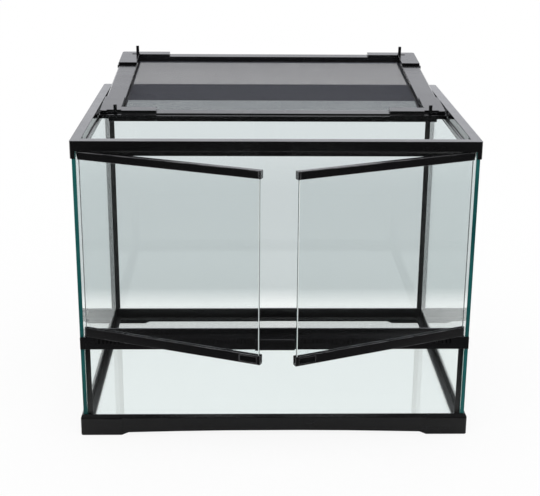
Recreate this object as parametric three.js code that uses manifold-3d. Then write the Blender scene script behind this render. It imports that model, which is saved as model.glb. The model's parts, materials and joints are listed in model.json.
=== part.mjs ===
// A front-opening glass terrarium: a black plastic base and top frame, glass panes,
// a mid rail with air slots, two hinged doors, a door catch and a loose screen lid.
// Millimetres. +X is right, +Y is back, +Z is up. Both doors stand ajar, and the lid
// leans back over the top frame. The origin is on the surface that the cabinet stands
// on, under the middle of the whole, lid and doors included.
import * as THREE from 'three';
import { mergeVertices } from 'three/addons/utils/BufferGeometryUtils.js';
import Module from 'manifold-3d';

// ---------------------------------------------------------------- driving sizes
// Running clearances
const GAP = 0.3; // between pieces that rest on or fit in each other
const PIN_PLAY = 0.15; // radial, pin in socket
const DOOR_GAP = 1; // above, below and behind a closed door
const PAST = 1; // a cut runs this far past the face that it opens

// Facets
const CORNER_STEPS = 5; // round a corner
const HINGE_STEPS = 8; // round the hinge end of a door rail
const PIN_STEPS = 16;
const SOLE_STEPS = 12;
const WELD = 1e-4; // corners closer than this are one

// Glass
const GLASS_WIDTH = 592; // over the outer faces of the side panes
const GLASS_DEPTH = 444; // front edge to rear face
const GLASS = 6; // thickness of the fixed panes
const DOOR_GLASS = 4;
const PANE_JOINT = 0.5; // silicone joint between two panes
const BEAD = 8; // leg of the upright silicone beads
const FLOOR_BEAD = 9; // width of the bead round the floor
const FLOOR_BEAD_HEIGHT = 5;
const REAR_STRIP = 5; // thickness of the black strip along the foot of the rear pane
const REAR_STRIP_HEIGHT = 20;

// Base frame
const BASE_LEDGE_X = 4; // base outside the side panes
const BASE_LEDGE_Y = 8; // base outside the front and rear panes
const BASE_HEIGHT = 32.5;
const BASE_SHOULDER = 27.5; // from here the walls slope in to the panes
const BASE_RIM = 1.5; // flat rim next to the panes
const BASE_CORNER_R = 4;
const SHELF_BOTTOM = 7;
const SHELF_TOP = 12;
const SHELF_REACH = 8; // shelf under the panes, inwards from their outer faces
const SHELF_GUSSET = 16;
const FOOT_LENGTH = 64;
const FOOT_HEIGHT = 4;
const FOOT_SLOPE = 9.5;
const FOOT_PROUD = 1; // corner blocks stand out from the walls
const SOLE_ARCH = 3; // rise of the sole in the middle of each long side

// Top frame
const TOTAL_HEIGHT = 466;
const FRAME_WRAP_X = 2.5; // skirt outside the side panes
const FRAME_WRAP_Y = 3; // and outside the front and rear panes
const FRAME_CORNER_R = 4;
const SIDE_LEDGE = 15;
const END_LEDGE = 17; // front and rear
const SIDE_SKIRT = 26.5;
const LIP_HEIGHT = 15; // proud upper part of the front band
const BAND_HEIGHT = 24.5;
const BAND_BACK = 6.5; // thickness of the band behind a closed door
const PANE_SEAT = 10; // top of the panes below the top face
const LID_SEAT = 14; // lid seat below the top face
const SEAT_WIDTH = 3;
const SEAT_THICK = 4;
const POCKET_DEEP = 4.5; // pockets for the lid bolts in the side walls
const POCKET_SPARE = 3; // above a bolt, because the lid can lean

// Mid rail
const MID_BOTTOM = 142;
const MID_STEP = 161.5; // top of the front step, under the doors
const MID_TOP = 172; // top of the stop strip behind the doors
const STOP_STRIP = 4; // thickness of the strip
const WINDOW_SEAT = 8; // how far the window goes up into the rail
const SLOT_WIDTH = 1.8;
const SLOT_HEIGHT = 8; // in front
const SLOT_BACK_HEIGHT = 4.3; // behind, so that no light falls straight through
const SLOT_FRONT_DEEP = 10;
const SLOT_PITCH = 6;
const SLOT_TOP = 2; // slots below the step
const SLOT_FIRST = 45; // from the middle of the rail
const SLOT_TO_HINGE = 15; // last slot to the pin axis

// Door catch
const CATCH_WIDTH = 60;
const CATCH_HEIGHT = 18.2;
const CATCH_THICK = 8.2;
const CATCH_TOP = 0.3; // below the step when the doors are free
const CATCH_EDGE = 1.6;
const CATCH_TRAVEL = 12; // upwards, over the closed doors
const CATCH_KEY_WIDTH = 4;
const CATCH_KEY_DEEP = 1.6;
const CATCH_KEY_X = 15;

// Doors
const DOOR_RAIL = 9; // thickness of both rails
const DOOR_TOP_RAIL = 12;
const DOOR_BOTTOM_RAIL = 14.5;
const DOOR_END_GAP = 1.5; // hinge end to the side pane
const DOOR_MIDDLE = 1.5; // free end to the middle of the cabinet
const DOOR_ROOF = 4; // solid part of a rail outside the glass
const GLASS_PAST_PIN = 2.5; // glass beyond the pin axis
const LEFT_AJAR = 22.3; // degrees open in the photograph
const RIGHT_AJAR = 23.4;
const CAP_THICK = 2.7;
const PIN_R = 2;
const PIN_IN_RAIL = 3.4;
const PIN_IN_FRAME = 6.5;
const SOCKET_SPARE = 0.8;
const STRIKE_LENGTH = 26;
const STRIKE_HEIGHT = 9;
const STRIKE_THICK = 1;
const STRIKE_END = 6; // from the free end

// Screen lid, measured in its own plane from its front edge
const LID_PLAY_X = 1; // each side, in the opening
const LID_PLAY_Y = 4; // front and rear, in the opening
const LID_FRONT_Y = -8; // where its front edge lies in the photograph
const LID_SIDE_RAIL = 33;
const LID_SIDE_INSET = 2.5; // side rails inside the outer edge of the brackets
const LID_END_RAIL = 28;
const LID_OVERHANG = 17; // flange outside the side skirts
const LID_FLANGE = 6;
const LID_RAIL_TOP = 7;
const LID_CORNER_TOP = 11.5;
const LID_SKIRT = 4.5;
const LID_LEDGE = 7; // front and rear ledge outside the raised part
const LEDGE_DROP = 1.5; // that ledge below the top of the flange
const LID_SIDE_LEDGE = 2.5;
const LID_CORNER_X = 93; // corner bracket along the front
const LID_CORNER_Y = 90; // corner bracket along the side
const LID_CORNER_R = 7;
const LIP_REACH = 2.4; // lip under the mesh
const LIP_THICK = 1.2;
const MESH_THICK = 0.8;
const MESH_BORDER = 2.4;
const WIRE = 1.2;
const MESH_COLUMNS = 20;
const MESH_ROWS = 12;
const SPLINE = 1.3;
const SPLINE_HEIGHT = 1.6;

// Lid bolts
const BOLT_THICK = 3;
const BOLT_WIDE = 4;
const FRONT_BOLT_LENGTH = 27.8;
const REAR_BOLT_LENGTH = 33.2;
const BOLT_SET_BACK = 2.2; // bolt end inside the lid's edge
const BOLT_SLOT = 5;
const TAB_WIDE = 5.5;
const FRONT_TAB_HEIGHT = 15;
const REAR_TAB_HEIGHT = 21;
const FRONT_SLOT_SPARE = 4; // open slot beyond the travel of a front tab
const TAB_THICK = 3;

// ---------------------------------------------------------------- worked-out places
const GLASS_X = GLASS_WIDTH / 2; // outer face of a side pane
const GLASS_Y = GLASS_DEPTH / 2; // outer face of the rear pane
const PANE_X = GLASS_X - GLASS; // inner face of a side pane
const PANE_Y = GLASS_Y - GLASS;
const BASE_X = GLASS_X + BASE_LEDGE_X;
const BASE_Y = GLASS_Y + BASE_LEDGE_Y;
const FLOOR_TOP = SHELF_TOP + GLASS;
const REAR_STRIP_TOP = FLOOR_TOP + REAR_STRIP_HEIGHT;
const TOP_X = GLASS_X + FRAME_WRAP_X;
const TOP_Y = GLASS_Y + FRAME_WRAP_Y;
const OPEN_X = TOP_X - SIDE_LEDGE;
const OPEN_Y = TOP_Y - END_LEDGE;
const SKIRT_BOTTOM = TOTAL_HEIGHT - SIDE_SKIRT;
const LIP_BOTTOM = TOTAL_HEIGHT - LIP_HEIGHT;
const BAND_BOTTOM = TOTAL_HEIGHT - BAND_HEIGHT;
const PANE_TOP = TOTAL_HEIGHT - PANE_SEAT;
const SEAT_Z = TOTAL_HEIGHT - LID_SEAT;
const BAND_FRONT_Y = OPEN_Y + BAND_BACK; // front face of the band behind a door
const HINGE_X = PANE_X - DOOR_END_GAP - DOOR_RAIL / 2;
const HINGE_Y = BAND_FRONT_Y + DOOR_GAP + DOOR_RAIL / 2;
const DOOR_LENGTH = HINGE_X - DOOR_MIDDLE;
const DOOR_BOTTOM = MID_STEP + DOOR_GAP;
const DOOR_TOP = LIP_BOTTOM - DOOR_GAP;
const WINDOW_TOP = MID_BOTTOM + WINDOW_SEAT;
const LID_X = OPEN_X - LID_PLAY_X;
const LID_DEPTH = 2 * (OPEN_Y - LID_PLAY_Y);
const LID_MIDDLE = LID_DEPTH / 2;
const RAIL_OUTER_X = LID_X - LID_SIDE_INSET;
const RAIL_INNER_X = RAIL_OUTER_X - LID_SIDE_RAIL;
const SKIRT_OUTER_X = LID_X - LID_OVERHANG;
const BOLT_BOTTOM = LID_FLANGE + GAP;
const BOLT_TOP = BOLT_BOTTOM + BOLT_THICK;
const BOLT_OUTER = LID_X - BOLT_SET_BACK;
const BOLT_TRAVEL = BOLT_SET_BACK + LID_PLAY_X + POCKET_DEEP - 2 * GAP;

// Where a bolt's slot starts, from the front edge of the lid. Both slots open
// towards the front: at the ledge in front, and at the inner edge at the rear.
function boltSlotStart(end) {
  return end < 0 ? LID_LEDGE : LID_DEPTH - LID_END_RAIL;
}

// ---------------------------------------------------------------- solids
const wasm = await Module();
wasm.setup();

// A closed three.js geometry as a solid
function solid(geometry) {
  const plain = geometry.index ? geometry.toNonIndexed() : geometry.clone();
  plain.deleteAttribute('normal');
  plain.deleteAttribute('uv');
  const merged = mergeVertices(plain, WELD);
  return new wasm.Manifold(new wasm.Mesh({
    numProp: 3,
    vertProperties: new Float32Array(merged.attributes.position.array),
    triVerts: new Uint32Array(merged.index.array),
  }));
}

function join(...pieces) {
  return pieces.reduce((whole, piece) => whole.add(piece));
}

function cut(whole, ...pieces) {
  return pieces.reduce((rest, piece) => rest.subtract(piece), whole);
}

// A box from its lowest to its highest corner
function box(x0, y0, z0, x1, y1, z1) {
  const geometry = new THREE.BoxGeometry(x1 - x0, y1 - y0, z1 - z0);
  geometry.translate((x0 + x1) / 2, (y0 + y1) / 2, (z0 + z1) / 2);
  return solid(geometry);
}

// A flat outline in X and Y, raised from z0 to z1
function raise(shape, z0, z1, steps = CORNER_STEPS) {
  const options = { depth: z1 - z0, bevelEnabled: false, curveSegments: steps };
  const geometry = new THREE.ExtrudeGeometry(shape, options);
  geometry.translate(0, 0, z0);
  return solid(geometry);
}

// An outline drawn in Y and Z, drawn out along X
function drawAlongX(points, x0, x1) {
  const options = { depth: x1 - x0, bevelEnabled: false };
  const geometry = new THREE.ExtrudeGeometry(polygon(points), options);
  const turn = new THREE.Matrix4().makeBasis(
    new THREE.Vector3(0, 1, 0), new THREE.Vector3(0, 0, 1), new THREE.Vector3(1, 0, 0));
  geometry.applyMatrix4(turn);
  geometry.translate(x0, 0, 0);
  return solid(geometry);
}

// An outline drawn in X and Z, drawn out along Y
function drawAlongY(points, y0, y1) {
  const options = { depth: y1 - y0, bevelEnabled: false };
  const geometry = new THREE.ExtrudeGeometry(polygon(points), options);
  geometry.rotateX(Math.PI / 2);
  geometry.translate(0, y1, 0);
  return solid(geometry);
}

// An upright pin or hole
function post(x, y, radius, z0, z1) {
  const geometry = new THREE.CylinderGeometry(radius, radius, z1 - z0, PIN_STEPS);
  geometry.rotateX(Math.PI / 2);
  geometry.translate(x, y, (z0 + z1) / 2);
  return solid(geometry);
}

function polygon(points) {
  return new THREE.Shape(points.map(([x, y]) => new THREE.Vector2(x, y)));
}

function roundedRectangle(halfX, halfY, radius) {
  const shape = new THREE.Shape();
  shape.absarc(halfX - radius, halfY - radius, radius, 0, Math.PI / 2);
  shape.absarc(-halfX + radius, halfY - radius, radius, Math.PI / 2, Math.PI);
  shape.absarc(-halfX + radius, -halfY + radius, radius, Math.PI, 1.5 * Math.PI);
  shape.absarc(halfX - radius, -halfY + radius, radius, 1.5 * Math.PI, 2 * Math.PI);
  return shape;
}

// A rectangle with its corners cut off
function clippedRectangle(halfX, halfY, clip) {
  return polygon([
    [halfX - clip, -halfY], [halfX, -halfY + clip], [halfX, halfY - clip],
    [halfX - clip, halfY], [-halfX + clip, halfY], [-halfX, halfY - clip],
    [-halfX, -halfY + clip], [-halfX + clip, -halfY],
  ]);
}

// ---------------------------------------------------------------- materials
function paint(color, roughness, metalness = 0, opacity = 1) {
  const transparent = opacity < 1;
  return new THREE.MeshStandardMaterial({ color, roughness, metalness, opacity, transparent });
}

const blackPlastic = () => paint(0x17181a, 0.35);
const clearGlass = () => paint(0xd5e6e2, 0.05, 0, 0.3);
const blackSilicone = () => paint(0x0d0e0f, 0.6);
const steel = () => paint(0xa9adb2, 0.35, 0.9);
const wireMesh = () => paint(0x8f9297, 0.45, 0.8);

function piece(name, body, material) {
  const mesh = body.getMesh();
  const geometry = new THREE.BufferGeometry();
  const positions = new THREE.BufferAttribute(new Float32Array(mesh.vertProperties), 3);
  geometry.setAttribute('position', positions);
  geometry.setIndex(new THREE.BufferAttribute(new Uint32Array(mesh.triVerts), 1));
  geometry.computeVertexNormals();
  const object = new THREE.Mesh(geometry, material);
  object.name = name;
  return object;
}

const SIDES = [['left', -1], ['right', 1]];
const ENDS = [['front', -1], ['rear', 1]];
const cabinet = new THREE.Group();

// ---------------------------------------------------------------- base frame
// Takes away the sole between two corner feet, with a sloped step at each foot and
// a low arch in the middle. The outline runs along u, from the foot's inner end.
function soleCut(halfLength, arch) {
  const foot = halfLength - FOOT_LENGTH;
  const flat = foot - FOOT_SLOPE;
  const points = [[foot, -PAST], [foot, 0]];
  for (let i = 0; i <= SOLE_STEPS; i += 1) {
    const u = flat * (1 - 2 * i / SOLE_STEPS);
    points.push([u, FOOT_HEIGHT + arch * (1 - (u / flat) ** 2)]);
  }
  points.push([-foot, 0], [-foot, -PAST]);
  return points;
}

// The outline, in one direction across the walls, of what a sloped shoulder takes away
function shoulderCut(outer, rim) {
  return [
    [outer + PAST, BASE_SHOULDER], [outer, BASE_SHOULDER], [rim, BASE_HEIGHT],
    [rim, BASE_HEIGHT + PAST], [outer + PAST, BASE_HEIGHT + PAST],
  ];
}

function baseFrame() {
  const pocketX = GLASS_X + GAP;
  const pocketY = GLASS_Y + GAP;
  const wall = raise(roundedRectangle(BASE_X, BASE_Y, BASE_CORNER_R), 0, BASE_HEIGHT);
  const pocket = box(-pocketX, -pocketY, SHELF_TOP, pocketX, pocketY, BASE_HEIGHT + PAST);
  const shelfX = GLASS_X - SHELF_REACH;
  const shelfY = GLASS_Y - SHELF_REACH;
  const well = raise(clippedRectangle(shelfX, shelfY, SHELF_GUSSET), -PAST, SHELF_TOP + PAST);
  const under = box(-pocketX, -pocketY, -PAST, pocketX, pocketY, SHELF_BOTTOM);
  const soleX = drawAlongY(soleCut(BASE_X, SOLE_ARCH), -BASE_Y - PAST, BASE_Y + PAST);
  const soleY = drawAlongX(soleCut(BASE_Y, 0), -BASE_X - PAST, BASE_X + PAST);
  let body = cut(wall, pocket, well, under, soleX, soleY);
  for (const [, side] of SIDES) {
    const face = side * (BASE_X - FOOT_PROUD);
    const far = side * (BASE_X + PAST);
    const half = BASE_Y - FOOT_LENGTH;
    const recess = box(Math.min(face, far), -half, -PAST, Math.max(face, far), half, BASE_HEIGHT);
    const outline = shoulderCut(BASE_X, pocketX + BASE_RIM).map(([x, z]) => [side * x, z]);
    body = cut(body, recess, drawAlongY(outline, -BASE_Y - PAST, BASE_Y + PAST));
  }
  for (const [, end] of ENDS) {
    const face = end * (BASE_Y - FOOT_PROUD);
    const far = end * (BASE_Y + PAST);
    const half = BASE_X - FOOT_LENGTH;
    const recess = box(-half, Math.min(face, far), -PAST, half, Math.max(face, far), BASE_HEIGHT);
    const outline = shoulderCut(BASE_Y, pocketY + BASE_RIM).map(([y, z]) => [end * y, z]);
    body = cut(body, recess, drawAlongX(outline, -BASE_X - PAST, BASE_X + PAST));
  }
  return body;
}
cabinet.add(piece('base_frame', baseFrame(), blackPlastic()));

// ---------------------------------------------------------------- fixed panes
const FLOOR_X = PANE_X - PANE_JOINT;
const FLOOR_Y = PANE_Y - PANE_JOINT;
const floorPane = box(-FLOOR_X, -FLOOR_Y, SHELF_TOP, FLOOR_X, FLOOR_Y, FLOOR_TOP);
cabinet.add(piece('floor_glass', floorPane, clearGlass()));

for (const [name, side] of SIDES) {
  const x0 = Math.min(side * PANE_X, side * GLASS_X);
  const pane = box(x0, -GLASS_Y, SHELF_TOP, x0 + GLASS, GLASS_Y, PANE_TOP - GAP);
  cabinet.add(piece(`${name}_side_glass`, pane, clearGlass()));
}

const rearPane = box(-FLOOR_X, PANE_Y, SHELF_TOP, FLOOR_X, GLASS_Y, PANE_TOP - GAP);
cabinet.add(piece('rear_glass', rearPane, clearGlass()));

const windowPane = box(-FLOOR_X, -GLASS_Y, SHELF_TOP, FLOOR_X, -PANE_Y, WINDOW_TOP);
cabinet.add(piece('lower_front_glass', windowPane, clearGlass()));

// ---------------------------------------------------------------- silicone beads
// A flat bead round the floor, and a higher strip along the rear pane
function floorSeal() {
  const outerX = PANE_X - GAP;
  const outerY = PANE_Y - GAP;
  const beadTop = FLOOR_TOP + FLOOR_BEAD_HEIGHT;
  const ring = box(-outerX, -outerY, FLOOR_TOP, outerX, outerY, beadTop);
  const innerX = outerX - FLOOR_BEAD;
  const innerY = outerY - FLOOR_BEAD;
  const hole = box(-innerX, -innerY, FLOOR_TOP - PAST, innerX, innerY, beadTop + PAST);
  const strip = box(-outerX, outerY - REAR_STRIP, FLOOR_TOP, outerX, outerY, REAR_STRIP_TOP);
  return join(cut(ring, hole), strip);
}
cabinet.add(piece('floor_seal', floorSeal(), blackSilicone()));

for (const [endName, end] of ENDS) {
  const beadBottom = GAP + (end > 0 ? REAR_STRIP_TOP : FLOOR_TOP + FLOOR_BEAD_HEIGHT);
  const beadTop = end > 0 ? SKIRT_BOTTOM - GAP : MID_BOTTOM - GAP;
  for (const [sideName, side] of SIDES) {
    const cornerX = side * (PANE_X - GAP);
    const cornerY = end * (PANE_Y - GAP);
    const fillet = polygon([
      [cornerX, cornerY], [cornerX - side * BEAD, cornerY], [cornerX, cornerY - end * BEAD]]);
    const bead = raise(fillet, beadBottom, beadTop);
    cabinet.add(piece(`${endName}_${sideName}_seal`, bead, blackSilicone()));
  }
}

// ---------------------------------------------------------------- mid rail
const MID_FRONT = TOP_Y; // flush with the top frame
const MID_INNER = BAND_FRONT_Y - STOP_STRIP; // inner face, flush with the stop strip

function midRail() {
  const reach = PANE_X - GAP;
  const bar = box(-reach, -MID_FRONT, MID_BOTTOM, reach, -MID_INNER, MID_STEP);
  const face = box(-GLASS_X, -MID_FRONT, MID_BOTTOM, GLASS_X, -GLASS_Y - GAP, MID_STEP);
  const strip = box(-reach, -BAND_FRONT_Y, MID_BOTTOM, reach, -MID_INNER, MID_TOP);
  const seat = box(-GLASS_X, -GLASS_Y - GAP, MID_BOTTOM - PAST,
    GLASS_X, -PANE_Y + GAP, WINDOW_TOP + GAP);
  let body = cut(join(bar, face, strip), seat);
  const slotTop = MID_STEP - SLOT_TOP;
  const slotStep = -MID_FRONT + SLOT_FRONT_DEEP;
  for (let x = SLOT_FIRST; x <= HINGE_X - SLOT_TO_HINGE; x += SLOT_PITCH) {
    for (const [, side] of SIDES) {
      const x0 = side * x - SLOT_WIDTH / 2;
      const x1 = x0 + SLOT_WIDTH;
      const front = box(x0, -MID_FRONT - PAST, slotTop - SLOT_HEIGHT, x1, slotStep, slotTop);
      const back = box(x0, -MID_FRONT, slotTop - SLOT_BACK_HEIGHT, x1, -MID_INNER + PAST, slotTop);
      body = cut(body, front, back);
    }
  }
  for (const [, side] of SIDES) {
    const socketBottom = MID_STEP - PIN_IN_FRAME - SOCKET_SPARE;
    const socket = post(side * HINGE_X, -HINGE_Y, PIN_R + PIN_PLAY, socketBottom, MID_STEP + PAST);
    const half = CATCH_KEY_WIDTH / 2 + GAP;
    const x = side * CATCH_KEY_X;
    const keyway = box(x - half, -MID_FRONT - PAST, MID_BOTTOM - PAST,
      x + half, -MID_FRONT + CATCH_KEY_DEEP + GAP, MID_STEP + PAST);
    body = cut(body, socket, keyway);
  }
  return body;
}
cabinet.add(piece('mid_rail', midRail(), blackPlastic()));

// ---------------------------------------------------------------- top frame
// Pockets in one side wall for the bolts: two for the closed lid, and one for the
// front bolt of the leaned lid
function boltPockets(side) {
  const half = BOLT_WIDE / 2 + LID_PLAY_Y + GAP;
  const x0 = Math.min(side * (OPEN_X - PAST), side * (OPEN_X + POCKET_DEEP));
  const lidFronts = [[-1, -LID_MIDDLE], [1, -LID_MIDDLE], [-1, LID_FRONT_Y]];
  return lidFronts.map(([end, lidFront]) => {
    const y = lidFront + boltSlotStart(end) + BOLT_SLOT / 2;
    return box(x0, y - half, SEAT_Z + BOLT_BOTTOM - GAP,
      x0 + POCKET_DEEP + PAST, y + half, SEAT_Z + BOLT_TOP + POCKET_SPARE);
  });
}

function topFrame() {
  let body = raise(roundedRectangle(TOP_X, TOP_Y, FRAME_CORNER_R), SKIRT_BOTTOM, TOTAL_HEIGHT);
  const low = SKIRT_BOTTOM - PAST;
  body = cut(body, box(-OPEN_X, -OPEN_Y, low, OPEN_X, OPEN_Y, TOTAL_HEIGHT + PAST));
  for (const [, side] of SIDES) {
    const x0 = Math.min(side * (PANE_X - GAP), side * (GLASS_X + GAP));
    const slot = box(x0, -GLASS_Y - GAP, low, x0 + GLASS + 2 * GAP, GLASS_Y + GAP, PANE_TOP);
    const seatX = Math.min(side * OPEN_X, side * (OPEN_X - SEAT_WIDTH));
    const seat = box(seatX, -OPEN_Y, SEAT_Z - SEAT_THICK, seatX + SEAT_WIDTH, OPEN_Y, SEAT_Z);
    body = cut(join(body, seat), slot, ...boltPockets(side));
  }
  const rearSlot = box(-GLASS_X, PANE_Y - GAP, low, GLASS_X, GLASS_Y + GAP, PANE_TOP);
  const doorX = PANE_X + DOOR_GAP;
  const doorway = box(-doorX, -TOP_Y - PAST, low, doorX, -BAND_FRONT_Y, LIP_BOTTOM);
  const underBand = box(-OPEN_X, -BAND_FRONT_Y - PAST, low, OPEN_X, -OPEN_Y + PAST, BAND_BOTTOM);
  body = cut(body, rearSlot, doorway, underBand);
  for (const [, side] of SIDES) {
    const socketTop = LIP_BOTTOM + PIN_IN_FRAME + SOCKET_SPARE;
    body = cut(body, post(side * HINGE_X, -HINGE_Y, PIN_R + PIN_PLAY, LIP_BOTTOM - PAST, socketTop));
  }
  return body;
}
cabinet.add(piece('top_frame', topFrame(), blackPlastic()));

// ---------------------------------------------------------------- door catch
// Drawn in Y and Z with its back face at zero: the front edges are cut off
function doorCatch() {
  const top = MID_STEP - CATCH_TOP;
  const bottom = top - CATCH_HEIGHT;
  const back = -MID_FRONT - GAP;
  const front = back - CATCH_THICK;
  const block = drawAlongX([
    [back, bottom], [back, top], [front + CATCH_EDGE, top], [front, top - CATCH_EDGE],
    [front, bottom + CATCH_EDGE], [front + CATCH_EDGE, bottom],
  ], -CATCH_WIDTH / 2, CATCH_WIDTH / 2);
  const keys = SIDES.map(([, side]) => {
    const x0 = side * CATCH_KEY_X - CATCH_KEY_WIDTH / 2;
    return box(x0, back - PAST, bottom + CATCH_EDGE,
      x0 + CATCH_KEY_WIDTH, back + GAP + CATCH_KEY_DEEP, MID_STEP - CATCH_TRAVEL);
  });
  return join(block, ...keys);
}
cabinet.add(piece('door_catch', doorCatch(), blackPlastic()));

// ---------------------------------------------------------------- doors
// Each door is drawn closed, round its own hinge axis, and reaches along side * -X.
// Its outer face looks to -Y.
function addDoor(name, side, ajar) {
  const door = new THREE.Group();
  door.position.set(side * HINGE_X, -HINGE_Y, 0);
  door.rotation.z = side * THREE.MathUtils.degToRad(ajar);
  const along = -side;
  const half = DOOR_RAIL / 2;

  // A box from one distance along the door to another
  const span = (u0, u1, y0, y1, z0, z1) =>
    box(Math.min(along * u0, along * u1), y0, z0, Math.max(along * u0, along * u1), y1, z1);

  // A rail with a round hinge end
  const bar = (length, z0, z1) => {
    const shape = new THREE.Shape();
    shape.moveTo(along * length, -along * half);
    shape.lineTo(along * length, along * half);
    shape.absarc(0, 0, half, along * Math.PI / 2, along * Math.PI / 2 + Math.PI);
    return raise(shape, z0, z1, HINGE_STEPS);
  };

  const topRailBottom = DOOR_TOP - DOOR_TOP_RAIL;
  const bottomRailTop = DOOR_BOTTOM + DOOR_BOTTOM_RAIL;
  const glassBottom = DOOR_BOTTOM + DOOR_ROOF;
  const glassTop = DOOR_TOP - DOOR_ROOF;
  const slotHalf = DOOR_GLASS / 2 + GAP;
  const slotStart = -GLASS_PAST_PIN - GAP;

  const topLength = DOOR_LENGTH - CAP_THICK - GAP;
  const topRail = cut(
    bar(topLength, topRailBottom, DOOR_TOP),
    span(slotStart, topLength + PAST, -slotHalf, slotHalf, topRailBottom - PAST, glassTop + GAP),
    post(0, 0, PIN_R + PIN_PLAY, glassTop, DOOR_TOP + PAST));
  const cap = span(DOOR_LENGTH - CAP_THICK, DOOR_LENGTH, -half, half, topRailBottom, DOOR_TOP);

  const strikeEnd = DOOR_LENGTH - STRIKE_END;
  const strikeStart = strikeEnd - STRIKE_LENGTH;
  const strikeBottom = DOOR_BOTTOM + (DOOR_BOTTOM_RAIL - STRIKE_HEIGHT) / 2;
  const strikeTop = strikeBottom + STRIKE_HEIGHT;
  const bottomRail = cut(
    bar(DOOR_LENGTH, DOOR_BOTTOM, bottomRailTop),
    span(slotStart, DOOR_LENGTH + PAST, -slotHalf, slotHalf, glassBottom - GAP, bottomRailTop + PAST),
    span(strikeStart - GAP, strikeEnd + GAP, -half - PAST, -half + STRIKE_THICK + GAP,
      strikeBottom - GAP, strikeTop + GAP),
    post(0, 0, PIN_R + PIN_PLAY, DOOR_BOTTOM - PAST, glassBottom));
  const strike = span(strikeStart, strikeEnd, -half, -half + STRIKE_THICK, strikeBottom, strikeTop);

  const glass = span(-GLASS_PAST_PIN, topLength, -DOOR_GLASS / 2, DOOR_GLASS / 2,
    glassBottom, glassTop);
  const upperPin = post(0, 0, PIN_R, DOOR_TOP - PIN_IN_RAIL, LIP_BOTTOM + PIN_IN_FRAME);
  const lowerPin = post(0, 0, PIN_R, MID_STEP - PIN_IN_FRAME, DOOR_BOTTOM + PIN_IN_RAIL);

  door.add(piece(`${name}_door_glass`, glass, clearGlass()));
  door.add(piece(`${name}_door_top_rail`, topRail, blackPlastic()));
  door.add(piece(`${name}_door_bottom_rail`, bottomRail, blackPlastic()));
  door.add(piece(`${name}_door_end_cap`, cap, blackPlastic()));
  door.add(piece(`${name}_door_strike`, strike, steel()));
  door.add(piece(`${name}_door_upper_pin`, upperPin, steel()));
  door.add(piece(`${name}_door_lower_pin`, lowerPin, steel()));
  cabinet.add(door);
}
addDoor('left', -1, LEFT_AJAR);
addDoor('right', 1, RIGHT_AJAR);

// ---------------------------------------------------------------- screen lid
// Its own X is across, Y runs back from its front edge, and Z is zero at the
// underside of the flange. The front rests on the seats of the top frame, and the
// side skirts lean on the inner top edge of the frame's rear wall.
function lidTilt() {
  const run = OPEN_Y - LID_FRONT_Y;
  const rise = TOTAL_HEIGHT - SEAT_Z;
  const slope = Math.atan2(rise, run);
  return slope + Math.asin(LID_SKIRT / Math.hypot(rise, run));
}

const lid = new THREE.Group();
lid.position.set(0, LID_FRONT_Y, SEAT_Z + GAP);
lid.rotation.x = lidTilt();
cabinet.add(lid);

// Front and rear rails: the outline runs inwards from the outer edge
function endRail(end) {
  const edge = LID_MIDDLE + end * LID_MIDDLE;
  const inwards = (v) => edge - end * v;
  const outline = [
    [0, -LID_SKIRT], [LID_END_RAIL + LIP_REACH, -LID_SKIRT],
    [LID_END_RAIL + LIP_REACH, -LID_SKIRT + LIP_THICK],
    [LID_END_RAIL, -LID_SKIRT + LIP_THICK], [LID_END_RAIL, LID_RAIL_TOP],
    [LID_LEDGE, LID_RAIL_TOP], [LID_LEDGE, LID_FLANGE - LEDGE_DROP], [0, LID_FLANGE - LEDGE_DROP],
  ].map(([v, w]) => [inwards(v), w]);
  const half = LID_X - LID_CORNER_X - GAP;
  return drawAlongX(outline, -half, half);
}

function sideRail(side) {
  const lipX = RAIL_INNER_X - LIP_REACH;
  const outline = [
    [RAIL_OUTER_X, 0], [RAIL_OUTER_X, LID_RAIL_TOP - LID_SIDE_LEDGE],
    [RAIL_OUTER_X - LID_SIDE_LEDGE, LID_RAIL_TOP], [RAIL_INNER_X, LID_RAIL_TOP],
    [RAIL_INNER_X, -LID_SKIRT + LIP_THICK], [lipX, -LID_SKIRT + LIP_THICK],
    [lipX, -LID_SKIRT], [SKIRT_OUTER_X, -LID_SKIRT], [SKIRT_OUTER_X, 0],
  ].map(([x, w]) => [side * x, w]);
  return drawAlongY(outline, LID_CORNER_Y + GAP, LID_DEPTH - LID_CORNER_Y - GAP);
}

for (const [name, end] of ENDS) {
  lid.add(piece(`lid_${name}_rail`, endRail(end), blackPlastic()));
}
for (const [name, side] of SIDES) {
  lid.add(piece(`lid_${name}_rail`, sideRail(side), blackPlastic()));
}

// An L in the plane of the lid, drawn for the rear right corner and turned to its
// own. outX and outY are its outer edges, from the middle of the lid.
function elbow(side, end, outX, outY, inX, inY, radius, z0, z1) {
  const farX = LID_X - LID_CORNER_X;
  const farY = LID_MIDDLE - LID_CORNER_Y;
  const points = [[farX, inY], [farX, outY]];
  const steps = radius > 0 ? CORNER_STEPS : 0;
  for (let i = 0; i <= steps; i += 1) {
    const turn = steps > 0 ? (Math.PI / 2) * (1 - i / steps) : 0;
    const x = outX - radius + radius * Math.cos(turn);
    const y = outY - radius + radius * Math.sin(turn);
    points.push(steps > 0 ? [x, y] : [outX, outY]);
  }
  points.push([outX, farY], [inX, farY], [inX, inY]);
  const placed = points.map(([x, y]) => [side * x, LID_MIDDLE + end * y]);
  return raise(polygon(placed), z0, z1);
}

// The inner end of a bolt, where its tab stands
function boltInner(end) {
  return BOLT_OUTER - (end < 0 ? FRONT_BOLT_LENGTH : REAR_BOLT_LENGTH);
}

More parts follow.
